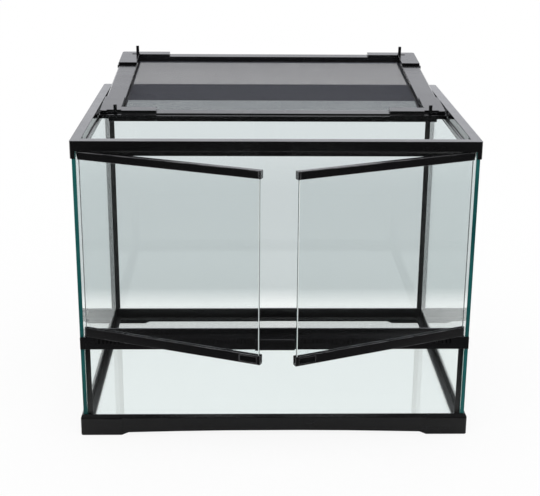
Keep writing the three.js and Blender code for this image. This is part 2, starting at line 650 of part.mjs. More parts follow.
function cornerBracket(side, end) {
  const innerX = RAIL_INNER_X;
  const innerY = LID_MIDDLE - LID_END_RAIL;
  const r = LID_CORNER_R;
  const skirt = elbow(side, end, SKIRT_OUTER_X, LID_MIDDLE, innerX, innerY, 0, -LID_SKIRT, 0);
  const flange = elbow(side, end, LID_X, LID_MIDDLE, innerX, innerY, r, 0, LID_FLANGE);
  const raised = elbow(side, end, LID_X - LID_SIDE_LEDGE, LID_MIDDLE - LID_LEDGE,
    innerX, innerY, r - LID_SIDE_LEDGE, LID_FLANGE, LID_CORNER_TOP);
  const lip = elbow(side, end, innerX + PAST, innerY + PAST, innerX - LIP_REACH,
    innerY - LIP_REACH, 0, -LID_SKIRT, -LID_SKIRT + LIP_THICK);

  const v0 = boltSlotStart(end);
  const slotX0 = RAIL_INNER_X - PAST;
  const travelEnd = boltInner(end) + TAB_WIDE + BOLT_TRAVEL;
  const notchX1 = travelEnd + (end < 0 ? FRONT_SLOT_SPARE : GAP);
  // A cut from the inner edge of the bracket out to x1
  const channel = (x1, top) => box(Math.min(side * slotX0, side * x1), v0 - PAST, LID_FLANGE,
    Math.max(side * slotX0, side * x1), v0 + BOLT_SLOT, top);
  const slot = channel(LID_X + PAST, BOLT_TOP + GAP);
  const notch = channel(notchX1, LID_CORNER_TOP + PAST);
  return cut(join(skirt, flange, raised, lip), slot, notch);
}

function lidBolt(side, end) {
  const v0 = boltSlotStart(end) + (BOLT_SLOT - BOLT_WIDE) / 2;
  const inner = boltInner(end);
  const tabTop = BOLT_BOTTOM + (end < 0 ? FRONT_TAB_HEIGHT : REAR_TAB_HEIGHT);
  const flip = (x0, x1, y0, y1, z0, z1) =>
    box(Math.min(side * x0, side * x1), y0, z0, Math.max(side * x0, side * x1), y1, z1);
  return join(
    flip(inner, BOLT_OUTER, v0, v0 + BOLT_WIDE, BOLT_BOTTOM, BOLT_TOP),
    flip(inner, inner + TAB_WIDE, v0, v0 + TAB_THICK, BOLT_BOTTOM, tabTop));
}

for (const [endName, end] of ENDS) {
  for (const [sideName, side] of SIDES) {
    const corner = `lid_${endName}_${sideName}`;
    lid.add(piece(`${corner}_corner`, cornerBracket(side, end), blackPlastic()));
    lid.add(piece(`${corner}_bolt`, lidBolt(side, end), blackPlastic()));
  }
}

// The mesh lies on the lip of the rails, and the bead holds it down
const MESH_X = RAIL_INNER_X - GAP;
const MESH_Y = LID_MIDDLE - LID_END_RAIL - GAP;
const MESH_BOTTOM = -LID_SKIRT + LIP_THICK + GAP;
const MESH_TOP = MESH_BOTTOM + MESH_THICK;

// The edges of a row of bars across a width, with a border at both ends
function barEdges(half, border, bar, gaps) {
  const edges = [-half, -half + border];
  const inner = half - border;
  for (let i = 1; i < gaps; i += 1) {
    const middle = inner * (2 * i / gaps - 1);
    edges.push(middle - bar / 2, middle + bar / 2);
  }
  edges.push(half - border, half);
  return edges;
}

// A flat net: every second cell between the edges, both ways, is a gap
function net(xs, ys, z0, z1) {
  const corners = [];
  const quad = (a, b, c, d) => corners.push(...a, ...b, ...c, ...a, ...c, ...d);
  const isGap = (i, j) => i % 2 === 1 && j % 2 === 1;
  const open = (i, j) => i < 0 || j < 0 || i > xs.length - 2 || j > ys.length - 2 || isGap(i, j);
  for (let i = 0; i < xs.length - 1; i += 1) {
    for (let j = 0; j < ys.length - 1; j += 1) {
      if (isGap(i, j)) continue;
      const [x0, x1, y0, y1] = [xs[i], xs[i + 1], ys[j], ys[j + 1]];
      quad([x0, y0, z1], [x1, y0, z1], [x1, y1, z1], [x0, y1, z1]);
      quad([x0, y0, z0], [x0, y1, z0], [x1, y1, z0], [x1, y0, z0]);
      if (open(i - 1, j)) quad([x0, y0, z0], [x0, y0, z1], [x0, y1, z1], [x0, y1, z0]);
      if (open(i + 1, j)) quad([x1, y0, z0], [x1, y1, z0], [x1, y1, z1], [x1, y0, z1]);
      if (open(i, j - 1)) quad([x0, y0, z0], [x1, y0, z0], [x1, y0, z1], [x0, y0, z1]);
      if (open(i, j + 1)) quad([x0, y1, z0], [x0, y1, z1], [x1, y1, z1], [x1, y1, z0]);
    }
  }
  const geometry = new THREE.BufferGeometry();
  geometry.setAttribute('position', new THREE.Float32BufferAttribute(corners, 3));
  return geometry;
}

function screen() {
  const xs = barEdges(MESH_X, MESH_BORDER, WIRE, MESH_COLUMNS);
  const ys = barEdges(MESH_Y, MESH_BORDER, WIRE, MESH_ROWS).map((y) => LID_MIDDLE + y);
  return solid(net(xs, ys, MESH_BOTTOM, MESH_TOP));
}
lid.add(piece('lid_screen', screen(), wireMesh()));

function spline() {
  const bottom = MESH_TOP + GAP;
  const top = bottom + SPLINE_HEIGHT;
  const y0 = LID_MIDDLE - MESH_Y;
  const y1 = LID_MIDDLE + MESH_Y;
  return cut(
    box(-MESH_X, y0, bottom, MESH_X, y1, top),
    box(-MESH_X + SPLINE, y0 + SPLINE, bottom - PAST,
      MESH_X - SPLINE, y1 - SPLINE, top + PAST));
}
lid.add(piece('lid_spline', spline(), blackSilicone()));

// ---------------------------------------------------------------- origin
// Everything above is drawn from the middle of the base
const bounds = new THREE.Box3().setFromObject(cabinet);
const middle = bounds.getCenter(new THREE.Vector3());
cabinet.position.set(-middle.x, -middle.y, -bounds.min.z);

export default cabinet;
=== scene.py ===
# %% [markdown]
# # A glass terrarium, from CAD solids to a studio picture
# The cabinet is a black plastic base and top frame with five glass panes between
# them, a ventilated rail across the front, two glass doors, and a screen lid that
# leans out of the top. The CAD solids give every size and place. Here each solid
# gets the rounded edges, the glass, the wire and the finish of the real thing.

import json
import math

import bmesh
import bpy
from mathutils import Matrix, Vector

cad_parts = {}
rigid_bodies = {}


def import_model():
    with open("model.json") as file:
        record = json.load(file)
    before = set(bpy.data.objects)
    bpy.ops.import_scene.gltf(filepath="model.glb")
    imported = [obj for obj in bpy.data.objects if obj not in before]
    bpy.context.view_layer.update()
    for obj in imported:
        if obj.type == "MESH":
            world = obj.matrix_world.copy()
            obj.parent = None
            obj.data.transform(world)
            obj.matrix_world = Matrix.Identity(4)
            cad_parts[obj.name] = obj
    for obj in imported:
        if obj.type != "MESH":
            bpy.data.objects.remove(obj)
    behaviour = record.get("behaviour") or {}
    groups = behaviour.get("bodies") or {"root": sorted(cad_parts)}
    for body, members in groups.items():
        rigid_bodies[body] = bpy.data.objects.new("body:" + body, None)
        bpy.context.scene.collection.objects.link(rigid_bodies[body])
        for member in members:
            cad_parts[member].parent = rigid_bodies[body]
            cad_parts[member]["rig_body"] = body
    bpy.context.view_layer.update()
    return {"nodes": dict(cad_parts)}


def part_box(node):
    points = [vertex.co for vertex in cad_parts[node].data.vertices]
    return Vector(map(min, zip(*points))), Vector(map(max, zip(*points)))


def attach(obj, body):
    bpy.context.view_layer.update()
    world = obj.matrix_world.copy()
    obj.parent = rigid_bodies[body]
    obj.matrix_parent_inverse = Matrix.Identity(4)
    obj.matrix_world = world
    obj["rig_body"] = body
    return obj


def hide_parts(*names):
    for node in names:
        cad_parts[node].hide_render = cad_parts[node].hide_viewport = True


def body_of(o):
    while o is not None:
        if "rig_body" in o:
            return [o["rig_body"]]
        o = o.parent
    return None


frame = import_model()
nodes = frame["nodes"]
MM = 0.001

# %% [markdown]
# ## Camera
# The photograph was taken from a little above and almost square to the front. Its
# camera was found by fitting the corners of the base, the rail and the top frame,
# so the place, the three angles and the lens below are measured numbers. The place
# is given from the middle of the base, on the ground.

# %% Camera
CAMERA_FROM_BASE = Vector((-0.046368, -1.876489, 0.853309))
CAMERA_YAW = 0.022730
CAMERA_PITCH = 0.320635
CAMERA_ROLL = 0.007378
FOCAL_PIXELS = 1175.641
PHOTO_WIDTH = 540
SENSOR = 36.0


def camera_turn(yaw, pitch, roll):
    """The camera's axes, from its heading, its downward tilt and its roll."""
    forward = Vector((
        math.sin(yaw) * math.cos(pitch),
        math.cos(yaw) * math.cos(pitch),
        -math.sin(pitch),
    ))
    level = Vector((math.cos(yaw), -math.sin(yaw), 0))
    upright = level.cross(forward)
    right = level * math.cos(roll) + upright * math.sin(roll)
    up = upright * math.cos(roll) - level * math.sin(roll)
    return Matrix((right, up, -forward)).transposed().to_4x4()


base_low, base_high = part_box("base_frame")
base_middle = (base_low + base_high) / 2
base_middle.z = 0
camera = bpy.data.objects.new("camera", bpy.data.cameras.new("camera"))
camera.data.sensor_fit = "HORIZONTAL"
camera.data.sensor_width = SENSOR
camera.data.lens = FOCAL_PIXELS * SENSOR / PHOTO_WIDTH
turn = camera_turn(CAMERA_YAW, CAMERA_PITCH, CAMERA_ROLL)
camera.matrix_world = Matrix.Translation(base_middle + CAMERA_FROM_BASE) @ turn
bpy.context.scene.collection.objects.link(camera)
bpy.context.scene.camera = camera
print("lens", round(camera.data.lens, 2), "mm")

# %% [markdown]
# ## Node helpers
# Every finish is a small tree of nodes. These helpers add a node, fill its named
# inputs with numbers or with other sockets, and keep the recipes short to read.

# %% Node helpers
NOISE = "ShaderNodeTexNoise"
COMBINE = "ShaderNodeCombineXYZ"
NOISE_SPAN = (0.3, 0.7)  # most of a noise texture lies between these values


def feed(tree, socket, value):
    """Links a socket to value, or types value into it."""
    if isinstance(value, bpy.types.NodeSocket):
        tree.links.new(value, socket)
    else:
        socket.default_value = value


def add(tree, kind, **inputs):
    """A new node with its named inputs filled; a _ in a name stands for a space."""
    made = tree.nodes.new(kind)
    for name, value in inputs.items():
        feed(tree, made.inputs[name.replace("_", " ")], value)
    return made


def calc(tree, operation, *values):
    """The result of a Math node."""
    made = tree.nodes.new("ShaderNodeMath")
    made.operation = operation
    for socket, value in zip(made.inputs, values):
        feed(tree, socket, value)
    return made.outputs[0]


def remap(tree, value, low, high, to_low, to_high):
    """value moved from one range to another, held inside the new one."""
    made = add(tree, "ShaderNodeMapRange", Value=value)
    for name, number in (
        ("From Min", low), ("From Max", high), ("To Min", to_low), ("To Max", to_high)
    ):
        feed(tree, made.inputs[name], number)
    return made.outputs["Result"]


def blend_colours(tree, share, first, second):
    """first where share is 0 and second where it is 1."""
    made = tree.nodes.new("ShaderNodeMix")
    made.data_type = "RGBA"
    feed(tree, made.inputs["Factor"], share)
    feed(tree, made.inputs[6], first)
    feed(tree, made.inputs[7], second)
    return made.outputs[2]


def noise(tree, place, scale, detail, stretch=(1, 1, 1)):
    """Soft noise in the piece's own space, stretched along its axes."""
    mapping = add(tree, "ShaderNodeMapping", Vector=place, Scale=stretch)
    made = add(tree, NOISE, Vector=mapping.outputs[0], Scale=scale, Detail=detail)
    return made.outputs["Fac"]


def new_material(name, **values):
    """An empty material with a Principled shader, and the place on the piece."""
    material = bpy.data.materials.new(name)
    material.use_nodes = True
    tree = material.node_tree
    shader = tree.nodes["Principled BSDF"]
    for key, value in values.items():
        shader.inputs[key.replace("_", " ")].default_value = value
    place = tree.nodes.new("ShaderNodeTexCoord").outputs["Object"]
    return material, tree, shader, place


def bump(tree, shader, height, distance, strength):
    """Presses a height into the surface."""
    made = add(tree, "ShaderNodeBump", Height=height, Strength=strength)
    made.inputs["Distance"].default_value = distance
    tree.links.new(made.outputs[0], shader.inputs["Normal"])


# %% [markdown]
# ## Studio
# The picture has a white ground with only a faint shadow. The sky is an even white
# light at a strength of 1, so a colour shows about as it is written. A photographer
# keeps the room in front of a black product dark, so that its front stays black
# while its top shines: glossy rays see that same room here. A ray that left a
# mirroring surface and then passed a pane counts as glossy too.

# %% Studio
ROOM_FRONT = (0.03, 0.03, 0.03, 1)
ROOM_BACK = (0.92, 0.93, 0.98, 1)
ROOM_LIFT = 0.3
ROOM_FADE = (0.0, 0.6)
ONE_BOUNCE = 0.5
WHITE = (1, 1, 1, 1)
FLOOR_SIZE = 40.0
FLOOR_NEAR_Y = -0.25
FLOOR_FAR_Y = -0.6
FLOOR_MIRRORED_NEAR = (0.4, 0.4, 0.4, 1)
SHADOW_SHARE = 0.12
# Painted shade on the ground as the panes show it: white close behind the cabinet,
# greyer where the studio paper curves up, and lighter again far back.
PAPER_SHADE = (
    (0.30, (1.0, 1.0, 1.0, 1)),
    (0.40, (0.57, 0.61, 0.62, 1)),
    (1.20, (0.615, 0.655, 0.67, 1)),
    (1.80, (0.73, 0.77, 0.785, 1)),
)
PAPER_LENGTH = 2.0


def light_room():
    """White light all round, and a darker front for what mirrors it."""
    world = bpy.data.worlds.new("studio")
    world.use_nodes = True
    tree = world.node_tree
    sky = tree.nodes["Background"]
    way = tree.nodes.new("ShaderNodeTexCoord").outputs["Generated"]
    parts = add(tree, "ShaderNodeSeparateXYZ", Vector=way)
    height = calc(tree, "MULTIPLY", parts.outputs["Z"], ROOM_LIFT)
    facing = calc(tree, "ADD", parts.outputs["Y"], height)
    share = remap(tree, facing, *ROOM_FADE, 0.0, 1.0)
    mirrored = blend_colours(tree, share, ROOM_FRONT, ROOM_BACK)
    path = tree.nodes.new("ShaderNodeLightPath")
    colour = blend_colours(tree, path.outputs["Is Glossy Ray"], WHITE, mirrored)
    tree.links.new(colour, sky.inputs["Color"])
    sky.inputs["Strength"].default_value = 1.0
    bpy.context.scene.world = world


def painted_paper_shade(tree, depth):
    """The painted shade of the studio paper, by how far back it lies."""
    ramp = tree.nodes.new("ShaderNodeValToRGB")
    stops = ramp.color_ramp.elements
    stops.remove(stops[1])
    stops[0].position, stops[0].color = PAPER_SHADE[0][0] / PAPER_LENGTH, PAPER_SHADE[0][1]
    for place, tone in PAPER_SHADE[1:]:
        stops.new(place / PAPER_LENGTH).color = tone
    tree.links.new(remap(tree, depth, 0.0, PAPER_LENGTH, 0.0, 1.0), ramp.inputs[0])
    return ramp.outputs[0]


def lay_floor():
    """A wide white floor that keeps the soft shadow of the cabinet, with a painted shade
    where it is seen through the panes.
    """
    mesh = bpy.data.meshes.new("studio_floor")
    half = FLOOR_SIZE / 2
    corners = [(-half, -half, 0), (half, -half, 0), (half, half, 0), (-half, half, 0)]
    mesh.from_pydata(corners, [], [(0, 1, 2, 3)])
    floor = bpy.data.objects.new("studio_floor", mesh)
    bpy.context.scene.collection.objects.link(floor)
    material, tree, shader, place = new_material(
        "studio_floor", Roughness=1.0, Specular_IOR_Level=0.0
    )
    depth = add(tree, "ShaderNodeSeparateXYZ", Vector=place).outputs["Y"]
    path = tree.nodes.new("ShaderNodeLightPath")
    share = remap(tree, depth, FLOOR_FAR_Y, FLOOR_NEAR_Y, 0.0, 1.0)
    mirrored = blend_colours(tree, share, ROOM_FRONT, FLOOR_MIRRORED_NEAR)
    in_front = calc(tree, "LESS_THAN", depth, FLOOR_NEAR_Y)
    flagged = calc(tree, "MULTIPLY", path.outputs["Is Glossy Ray"], in_front)
    colour = blend_colours(tree, flagged, WHITE, mirrored)
    tree.links.new(colour, shader.inputs["Base Color"])
    glass_ray = path.outputs["Is Transmission Ray"]
    after_mirror = calc(tree, "GREATER_THAN", path.outputs["Glossy Depth"], ONE_BOUNCE)
    dark_side = calc(tree, "MULTIPLY", in_front, after_mirror)
    # Through the panes the ground shows its painted shade, or the dark room where it is
    # mirrored.
    seen_in_glass = blend_colours(tree, dark_side, painted_paper_shade(tree, depth), mirrored)
    ground = blend_colours(tree, glass_ray, WHITE, seen_in_glass)
    glow = add(tree, "ShaderNodeEmission", Color=ground, Strength=1.0)
    looked_at = calc(tree, "MAXIMUM", path.outputs["Is Camera Ray"], glass_ray)
    either = tree.nodes.new("ShaderNodeMixShader")
    feed(tree, either.inputs[0], calc(tree, "MULTIPLY", looked_at, 1 - SHADOW_SHARE))
    tree.links.new(shader.outputs[0], either.inputs[1])
    tree.links.new(glow.outputs[0], either.inputs[2])
    tree.links.new(either.outputs[0], tree.nodes["Material Output"].inputs["Surface"])
    mesh.materials.append(material)


bpy.context.scene.view_settings.view_transform = "Standard"
light_room()
lay_floor()
print("white room, white floor")

# %% [markdown]
# ## Moulded black plastic
# The frames, rails and corner brackets are glossy black plastic. Up close it has a
# very fine grain, a cloudy shine where hands have been, and edges painted a little
# lighter, partly as rubbing and partly as a painted highlight along each edge. These
# edges are marked on the mesh by an attribute, so that they follow the real edges of
# each piece.

# %% Moulded black plastic
# Marks the bevel faces; the plastics and the strike plate paint them lighter, partly as
# wear and partly as a painted highlight.
BEVEL_MARK = "bevel_faces"
PLASTIC_BODY = ((0.0035, 0.0035, 0.0038, 1), (0.0055, 0.0055, 0.0062, 1))
# How patchy the lighter edges are; they are partly rubbing and partly a painted highlight.
RUB_AND_HIGHLIGHT_PATCHES = (0.15, 1.0)
HANDLING_SPREAD = 0.05
FINE_GRAIN = 0.02 * MM


def moulded_plastic(name, shine, edge_rub_and_highlight):
    """Black plastic with grain, handling marks, and edges painted lighter: partly rubbing,
    partly a painted highlight.
    """
    material, tree, shader, place = new_material(
        name, IOR=1.5, Coat_Weight=0.5, Coat_Roughness=0.12
    )
    clouds = noise(tree, place, 9.0, 3.0)
    speckle = noise(tree, place, 420.0, 2.0)
    streaks = noise(tree, place, 60.0, 3.0, (0.15, 1, 1))
    edge = tree.nodes.new("ShaderNodeAttribute")
    edge.attribute_name = BEVEL_MARK
    patchy = remap(tree, noise(tree, place, 35.0, 3.0), 0.42, 0.68, *RUB_AND_HIGHLIGHT_PATCHES)
    # Lighter edges: partly rubbed plastic, partly a painted highlight along each edge.
    rubbed_and_highlit = calc(tree, "MULTIPLY", edge.outputs["Fac"], patchy)
    body = blend_colours(tree, speckle, *PLASTIC_BODY)
    colour = blend_colours(tree, rubbed_and_highlit, body, edge_rub_and_highlight)
    tree.links.new(colour, shader.inputs["Base Color"])
    duller, shinier = shine + HANDLING_SPREAD, shine - HANDLING_SPREAD
    cloudy = remap(tree, clouds, *NOISE_SPAN, shinier, duller)
    streaky = remap(tree, streaks, 0.35, 0.7, -0.02, 0.035)
    rough = calc(tree, "ADD", cloudy, streaky)
    tree.links.new(rough, shader.inputs["Roughness"])
    bump(tree, shader, speckle, FINE_GRAIN, 0.5)
    return material


# The last colour of each is its lighter edge, partly rubbing and partly a painted
# highlight; it is lightest on the door rails.
frame_plastic = moulded_plastic("frame_plastic", 0.22, (0.02, 0.02, 0.022, 1))
door_plastic = moulded_plastic("door_plastic", 0.22, (0.11, 0.11, 0.115, 1))
lid_plastic = moulded_plastic("lid_plastic", 0.24, (0.025, 0.025, 0.027, 1))
print("three black plastics")

# %% [markdown]
# ## Glass
# A pane is clear across its faces and dark sea green at its cut edges, because the
# light that reaches an edge has travelled the long way through the pane. The narrow
# arris that is ground along each edge scatters light and looks pale. So each pane gets
# three finishes: one on its two large faces, one on the cut edges and one on the
# arris. Shadow rays pass straight through the faces, so the inside stays light.

# %% Glass
GLASS_IOR = 1.5
WIPING_MARKS = 0.012
SMOKY = 0.985


def pane_glass(name, tint):
    """Clear glass with faint wiping marks that lets the light in."""
    material, tree, shader, place = new_material(
        name, IOR=GLASS_IOR, Transmission_Weight=1.0
    )
    film = noise(tree, place, 5.0, 4.0, (1, 1, 0.35))
    wiped = remap(tree, film, 0.45, 0.75, 0.0, WIPING_MARKS)
    tree.links.new(wiped, shader.inputs["Roughness"])
    clear, smoky = tint, tuple(SMOKY * c for c in tint[:3]) + (1,)
    colour = blend_colours(tree, film, clear, smoky)
    tree.links.new(colour, shader.inputs["Base Color"])
    open_way = add(tree, "ShaderNodeBsdfTransparent", Color=tint)
    path = tree.nodes.new("ShaderNodeLightPath")
    either = tree.nodes.new("ShaderNodeMixShader")
    tree.links.new(path.outputs["Is Shadow Ray"], either.inputs[0])
    tree.links.new(shader.outputs[0], either.inputs[1])
    tree.links.new(open_way.outputs[0], either.inputs[2])
    tree.links.new(either.outputs[0], tree.nodes["Material Output"].inputs["Surface"])
    return material


def cut_edge(name, deep, light):
    """The ground edge of a pane: sea green, silky, with grinding lines."""
    material, tree, shader, place = new_material(name, IOR=GLASS_IOR)
    bands = noise(tree, place, 14.0, 3.0, (1, 1, 0.6))
    lines = noise(tree, place, 300.0, 2.0, (1, 1, 0.05))
    share = remap(tree, bands, 0.35, 0.65, 0.0, 1.0)
    colour = blend_colours(tree, share, deep, light)
    tree.links.new(colour, shader.inputs["Base Color"])
    silky = remap(tree, lines, *NOISE_SPAN, 0.12, 0.26)
    tree.links.new(silky, shader.inputs["Roughness"])
    bump(tree, shader, lines, FINE_GRAIN, 0.4)
    return material


tank_glass = pane_glass("tank_glass", (0.965, 0.998, 0.99, 1))
door_glass = pane_glass("door_glass", (0.96, 0.985, 0.985, 1))
tank_edge = cut_edge("tank_edge", (0.003, 0.055, 0.055, 1), (0.01, 0.11, 0.105, 1))
door_edge = cut_edge("door_edge", (0.002, 0.02, 0.02, 1), (0.008, 0.05, 0.048, 1))
tank_arris = cut_edge("tank_arris", (0.02, 0.12, 0.11, 1), (0.10, 0.26, 0.24, 1))
door_arris = cut_edge("door_arris", (0.62, 0.68, 0.67, 1), (0.80, 0.84, 0.83, 1))
print("clear faces and green edges")

# %% [markdown]
# ## Silicone, rubber and metal
# The panes are joined by black silicone that was drawn with a finger, so it is
# smooth and a little wavy. The screen is held by a ribbed rubber spline. The hinge
# pins are turned steel, and the strike plates are blackened steel with fine brushed
# lines and bright edges, partly bare worn steel and partly a painted highlight.

# %% Silicone, rubber and metal
def black_silicone():
    """Cured silicone, wavy along its length."""
    material, tree, shader, place = new_material("silicone", IOR=1.43)
    waves = noise(tree, place, 45.0, 2.0, (1, 1, 0.5))
    skin = noise(tree, place, 260.0, 2.0)
    shade = blend_colours(tree, waves, (0.003, 0.003, 0.003, 1), (0.007, 0.007, 0.008, 1))
    tree.links.new(shade, shader.inputs["Base Color"])
    tree.links.new(remap(tree, skin, *NOISE_SPAN, 0.32, 0.5), shader.inputs["Roughness"])
    bump(tree, shader, waves, 0.5 * MM, 0.6)
    return material


def ribbed_rubber():
    """The spline: soft rubber with fine ribs."""
    material, tree, shader, place = new_material("spline_rubber", IOR=1.5)
    skin = noise(tree, place, 320.0, 2.0)
    shade = blend_colours(tree, skin, (0.004, 0.004, 0.004, 1), (0.012, 0.012, 0.013, 1))
    tree.links.new(shade, shader.inputs["Base Color"])
    tree.links.new(remap(tree, skin, *NOISE_SPAN, 0.5, 0.68), shader.inputs["Roughness"])
    bump(tree, shader, skin, 0.1 * MM, 0.5)
    return material


def turned_steel():
    """Bright steel with rings left by the lathe."""
    material, tree, shader, place = new_material("steel", Metallic=1.0)
    rings = noise(tree, place, 900.0, 2.0, (0.05, 0.05, 1))
    shade = blend_colours(tree, rings, (0.42, 0.42, 0.43, 1), (0.62, 0.62, 0.63, 1))
    tree.links.new(shade, shader.inputs["Base Color"])
    tree.links.new(remap(tree, rings, *NOISE_SPAN, 0.2, 0.38), shader.inputs["Roughness"])
    bump(tree, shader, rings, FINE_GRAIN, 0.5)
    return material


def blackened_steel():
    """Strike plate: dark steel, brushed along its length, with bright edges that are partly
    bare steel and partly a painted highlight.
    """
    material, tree, shader, place = new_material("strike_plate", Metallic=1.0)
    lines = noise(tree, place, 500.0, 2.0, (0.08, 0.08, 1))
    edge = tree.nodes.new("ShaderNodeAttribute")
    edge.attribute_name = BEVEL_MARK
    dark = blend_colours(tree, lines, (0.03, 0.03, 0.032, 1), (0.09, 0.09, 0.095, 1))
    # The bevel faces are painted bright steel: partly bare worn edges, partly a painted
    # highlight.
    shade = blend_colours(tree, edge.outputs["Fac"], dark, (0.6, 0.6, 0.62, 1))
    tree.links.new(shade, shader.inputs["Base Color"])
    tree.links.new(remap(tree, lines, *NOISE_SPAN, 0.25, 0.45), shader.inputs["Roughness"])
    bump(tree, shader, lines, FINE_GRAIN, 0.5)
    return material


silicone = black_silicone()
spline_rubber = ribbed_rubber()
steel = turned_steel()
strike_steel = blackened_steel()
print("silicone, rubber, steel and blackened steel")

# %% [markdown]
# ## From a solid to a finished piece
# A CAD node is a set of loose triangles. A finished piece starts as a copy of it:
# the doubled points are merged, the flat faces are joined up, and each sharp outer
# edge is rounded by a small bevel, because a moulded edge is never knife sharp. The
# new faces along those edges carry a bevel mark; the plastics and the strike plate
# paint them lighter, partly as rubbing and partly as a painted highlight. Weighted
# normals then keep the broad faces flat while the small ones look round.

# %% From a solid to a finished piece
MERGE = 0.001 * MM
FLAT = math.radians(0.5)
SHARP = math.radians(28)
KEPT_SHARP = math.radians(50)
ROUND_STEPS = 2
made_pieces = {}


def merged_solid(node_name):
    """A copy of a node's mesh with its points merged and its flat faces joined up."""
    solid = bmesh.new()
    solid.from_mesh(nodes[node_name].data)
    bmesh.ops.remove_doubles(solid, verts=solid.verts, dist=MERGE)
    bmesh.ops.dissolve_limit(
        solid, angle_limit=FLAT, verts=solid.verts, edges=solid.edges
    )
    return solid


def round_edges(solid, width, steps):
    """Rounds the sharp outer edges, and marks the new faces, which some finishes paint
    lighter.
    """
    bevel_layer = solid.faces.layers.float.new(BEVEL_MARK)
    edges = [
        e for e in solid.edges
        if e.is_manifold and e.calc_face_angle_signed() > SHARP
    ]
    result = bmesh.ops.bevel(
        solid, geom=edges, offset=width, offset_type="OFFSET", segments=steps,
        profile=0.5, affect="EDGES", clamp_overlap=False,
    )
    for face in result["faces"]:
        face[bevel_layer] = 1.0


def finish_mesh(name, solid):
    """Turns the bmesh into a shaded object whose broad faces stay flat."""
    bmesh.ops.triangulate(solid, faces=solid.faces)
    for face in solid.faces:
        face.smooth = True
    mesh = bpy.data.meshes.new(name)
    solid.to_mesh(mesh)
    solid.free()
    mesh.set_sharp_from_angle(angle=KEPT_SHARP)
    piece = bpy.data.objects.new(name, mesh)
    bpy.context.scene.collection.objects.link(piece)
    weigh = piece.modifiers.new("flat_faces", "WEIGHTED_NORMAL")
    weigh.keep_sharp = True
    weigh.weight = 100
    return bake(piece)


def bake(piece):
    """Applies the modifiers of a piece and removes them."""
    depsgraph = bpy.context.evaluated_depsgraph_get()
    final = bpy.data.meshes.new_from_object(piece.evaluated_get(depsgraph))
    final.name = piece.name
    piece.modifiers.clear()
    piece.data = final
    return piece


def register(piece, node_name):
    """Hides the node that a piece stands for, hangs the piece on the body that carries that
    node, and counts its faces.
    """
    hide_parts(node_name)
    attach(piece, body_of(nodes[node_name])[0])
    made_pieces[piece.name] = len(piece.data.polygons)


def finish_piece(node_name, material, width_mm):
    """A rounded copy of one node, in one material."""
    solid = merged_solid(node_name)
    round_edges(solid, width_mm * MM, ROUND_STEPS)
    piece = finish_mesh(node_name + "_finished", solid)
    piece.data.materials.append(material)
    register(piece, node_name)


# %% [markdown]
# ## The frames and rails
# The bigger the moulding, the rounder its edges: the base and the top frame get the
# widest rounding and the small caps the narrowest.

# %% The frames and rails
FRAME_EDGES = {"base_frame": 0.6, "top_frame": 0.45, "mid_rail": 0.35, "door_catch": 0.6}
DOOR_EDGES = {"top_rail": 1.1, "bottom_rail": 0.8, "end_cap": 0.5}

for node_name, width in FRAME_EDGES.items():
    finish_piece(node_name, frame_plastic, width)
for side in ("left", "right"):
    for part, width in DOOR_EDGES.items():
        finish_piece(f"{side}_door_{part}", door_plastic, width)
    finish_piece(f"{side}_door_strike", strike_steel, 0.35)
    for end in ("upper", "lower"):
        finish_piece(f"{side}_door_{end}_pin", steel, 0.3)
print("frames and door rails:", made_pieces)

# %% [markdown]
# ## The lid's frame
# The lid is four rails with a bracket at each corner. A bolt with an upright tab
# slides in each bracket, and a rubber spline presses the screen into the rails.

# %% The lid's frame
for end in ("front", "rear"):
    finish_piece(f"lid_{end}_rail", lid_plastic, 0.35)
    for side in ("left", "right"):
        finish_piece(f"lid_{end}_{side}_corner", lid_plastic, 0.45)
        finish_piece(f"lid_{end}_{side}_bolt", lid_plastic, 0.4)
for side in ("left", "right"):
    finish_piece(f"lid_{side}_rail", lid_plastic, 0.35)
finish_piece("lid_spline", spline_rubber, 0.5)
print(len(made_pieces), "pieces so far")

# %% [markdown]
# ## Panes
# Each pane is cut from the CAD solid with a narrow ground arris round its edges. The
# two largest faces are clear, the arris is known by its bevel mark, and the rest is
# cut edge. The doors are handled, so their arris is ground wider.

# %% Panes
TANK_ARRIS = 0.4
DOOR_ARRIS = 0.9
ARRIS_STEPS = 1


def finish_pane(node_name, finishes, arris_mm):
    """A pane with clear faces, green edges and a pale arris."""
    solid = merged_solid(node_name)
    round_edges(solid, arris_mm * MM, ARRIS_STEPS)
    bevel_layer = solid.faces.layers.float[BEVEL_MARK]
    broad = sorted(solid.faces, key=lambda face: face.calc_area())[-2:]
    for face in solid.faces:
        face.material_index = 2 if face[bevel_layer] else 1
    for face in broad:
        face.material_index = 0
    piece = finish_mesh(node_name + "_pane", solid)
    for material in finishes:
        piece.data.materials.append(material)
    register(piece, node_name)


for name in ("floor", "left_side", "right_side", "rear", "lower_front"):
    finishes = (tank_glass, tank_edge, tank_arris)
    finish_pane(f"{name}_glass", finishes, TANK_ARRIS)
for side in ("left", "right"):
    finishes = (door_glass, door_edge, door_arris)
    finish_pane(f"{side}_door_glass", finishes, DOOR_ARRIS)
print(len(made_pieces), "pieces so far")

# %% [markdown]
# ## Silicone beads
# A bead fills each corner between two panes and runs round the floor.

# %% Silicone beads
for corner in ("rear_left", "rear_right", "front_left", "front_right", "floor"):
    finish_piece(f"{corner}_seal", silicone, 0.3)
print(len(made_pieces), "pieces so far")

# %% [markdown]
# ## The screen
# The screen is fine black wire with a mesh of a millimetre and a half. That is more
# than five hundred wires, so a Geometry Nodes tree lays them: one wire is made,
# then repeated across the lid for the upper layer and again, turned, for the lower
# layer. Stretched screen is never quite even, so a noise texture in the tree bends
# the wires sideways by a fraction of a millimetre. Each wire has only four sides and
# ten lengths, which is plenty for its thickness.

